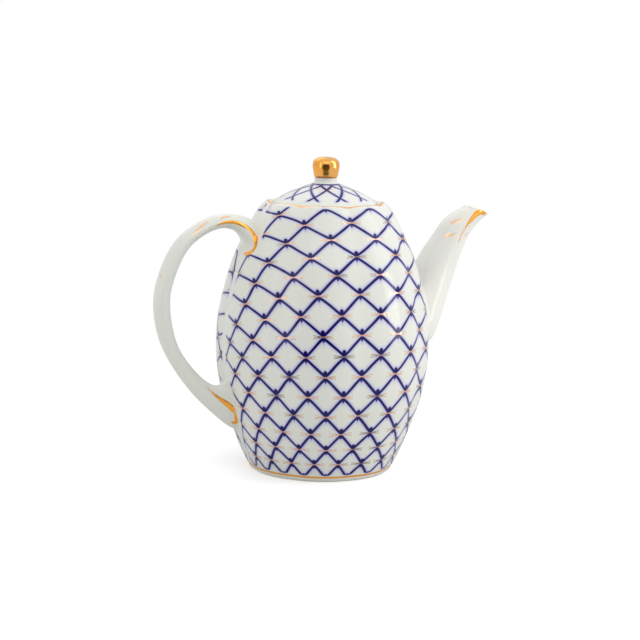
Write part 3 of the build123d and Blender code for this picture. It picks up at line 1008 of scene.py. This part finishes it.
FLOOR_LEVEL = -0.02
FLOOR_RINGS, FLOOR_SEGMENTS = (60, 200, 700, 2500), 96
FLOOR_TONES = ((0.88, 0.88, 0.88), (0.91, 0.91, 0.91))
FLOOR_FADE = (150.0, 420.0)  # distance from the pot over which the floor turns to plain white
FLOOR_GLOW = 0.30  # brightness next to the pot towards the camera, added to the light there
FLOOR_NEAR = 0.12  # the same as reflections see it
FLOOR_FAR = 0.10  # brightness of the distant floor in them, towards the camera
FLOOR_BRIGHT = 0.85  # and everywhere else
FLOOR_REFLECTED = (0.58, 0.58, 0.57)
FLOOR_OPENING, FLOOR_OPENING_SPREAD = (0.0, 0.25), 1.3

ROOM = (-0.4, 0.9, 0.70, 0.92)  # from below to above, darker to brighter
OPENING_FORWARD = (0.0, 0.2)  # the darker side that reflections show, towards the camera
OPENING_SIDEWAYS = (0.34, 0.58, 1.0, 0.0)
OPENING_UP = (0.10, 0.34, 1.0, 0.0)
OPENING_DARK = 0.94

LIGHTS = [  # name, place, what it looks at, size in metres, watts
    ("key", (900, -500, 1000), (0, 0, 90), (0.7, 0.9), 3.1),
    ("front", (-300, -900, 1000), (0, 0, 90), (1.2, 0.5), 1.4),
    ("right", (1000, -600, 250), (80, 0, 110), (0.4, 0.5), 2.3),
    ("left", (-1000, -350, 300), (0, 0, 90), (0.25, 0.9), 0.6),
    ("back", (-100, 900, 1000), (0, 0, 90), (0.9, 0.6), 0.9),
]


def camera_parts(tree, place):
    """How far a place or direction lies towards the camera, to either side of that, and up."""
    east, north, up = split(tree, place)
    heading = math.radians(CAMERA_AZIMUTH)
    forward = east * math.sin(heading) - north * math.cos(heading)
    sideways = abs(east * math.cos(heading) + north * math.sin(heading))
    return forward, sideways, up


def camera_ray(tree):
    """1 where the camera looks straight at a surface, 0 in reflections and bounced light."""
    return Field(tree, tree.nodes.new("ShaderNodeLightPath").outputs["Is Camera Ray"])


def make_floor():
    turn = np.linspace(0, 2 * math.pi, FLOOR_SEGMENTS, endpoint=False)
    rings = [[(radius * math.cos(a), radius * math.sin(a), FLOOR_LEVEL) for a in turn]
             for radius in FLOOR_RINGS]
    floor = ring_mesh("floor", rings, first_pole=(0, 0, FLOOR_LEVEL))
    paint = Paint("floor_white")
    seen = camera_ray(paint.tree)
    near_pot = paint.mix(paint.noise(400, 2.0).ramp(-0.3, 0.3), *FLOOR_TONES)
    near_pot = paint.mix(seen, FLOOR_REFLECTED, near_pot)
    away = paint.distance().ramp(*FLOOR_FADE)
    forward, sideways, _ = camera_parts(paint.tree, paint.place)
    opening = (forward - sideways * FLOOR_OPENING_SPREAD).ramp(*FLOOR_OPENING)
    far = opening * (FLOOR_FAR - FLOOR_BRIGHT) + FLOOR_BRIGHT
    unseen = away * (far - FLOOR_NEAR) + FLOOR_NEAR
    glow = away * (1 - FLOOR_GLOW) + FLOOR_GLOW
    paint.set(color=paint.mix(away, near_pot, (0.0, 0.0, 0.0)), rough=0.6,
              **{"Emission Color": (1.0, 1.0, 1.0, 1.0), "Specular IOR Level": 0.0,
                 "Emission Strength": seen * glow + (1 - seen) * unseen})
    paint.material.cycles.emission_sampling = "NONE"
    floor.data.materials.append(paint.material)


def make_light(name, place, target, size, power):
    lamp = bpy.data.lights.new(name, "AREA")
    lamp.shape = "RECTANGLE"
    lamp.size, lamp.size_y = size
    lamp.energy = power
    obj = bpy.data.objects.new(name, lamp)
    obj.location = Vector(place) * MM
    obj.rotation_euler = (Vector(target) - Vector(place)).to_track_quat("-Z", "Y").to_euler()
    bpy.context.scene.collection.objects.link(obj)


def make_world():
    """White behind the pot, and a soft room with a darker camera side in the reflections."""
    world = bpy.data.worlds.new("studio")
    bpy.context.scene.world = world
    world.use_nodes = True
    tree = world.node_tree
    nodes, links = tree.nodes, tree.links
    nodes.clear()
    forward, sideways, up = camera_parts(tree, nodes.new("ShaderNodeTexCoord").outputs["Generated"])
    opening = forward.ramp(*OPENING_FORWARD) * sideways.ramp(*OPENING_SIDEWAYS) * up.ramp(*OPENING_UP)
    room = up.ramp(*ROOM) * (1 - opening * OPENING_DARK)
    seen = camera_ray(tree)
    light = nodes.new("ShaderNodeBackground")
    light.inputs["Color"].default_value = (1, 1, 1, 1)
    links.new((room * (1 - seen) + seen).socket, light.inputs["Strength"])
    links.new(light.outputs[0], nodes.new("ShaderNodeOutputWorld").inputs["Surface"])


def make_camera():
    camera = bpy.data.cameras.new("camera")
    camera.lens, camera.sensor_width = CAMERA_LENS, CAMERA_SENSOR
    camera.shift_x = CAMERA_SHIFT
    camera.clip_start, camera.clip_end = CAMERA_CLIP
    obj = bpy.data.objects.new("camera", camera)
    heading = math.radians(CAMERA_AZIMUTH)
    east, north = math.sin(heading) * CAMERA_BACK, -math.cos(heading) * CAMERA_BACK
    obj.location = Vector((east, north, CAMERA_HEIGHT)) * MM
    aim = Matrix.Identity(4)
    for angle, axis in ((CAMERA_AZIMUTH, "Z"), (90 + CAMERA_PITCH, "X"), (CAMERA_ROLL, "Z")):
        aim = aim @ Matrix.Rotation(math.radians(angle), 4, axis)
    obj.rotation_euler = aim.to_euler()
    bpy.context.scene.collection.objects.link(obj)
    bpy.context.scene.camera = obj


make_floor()
make_world()
for light in LIGHTS:
    make_light(*light)
make_camera()
bpy.context.scene.view_settings.view_transform = "Standard"
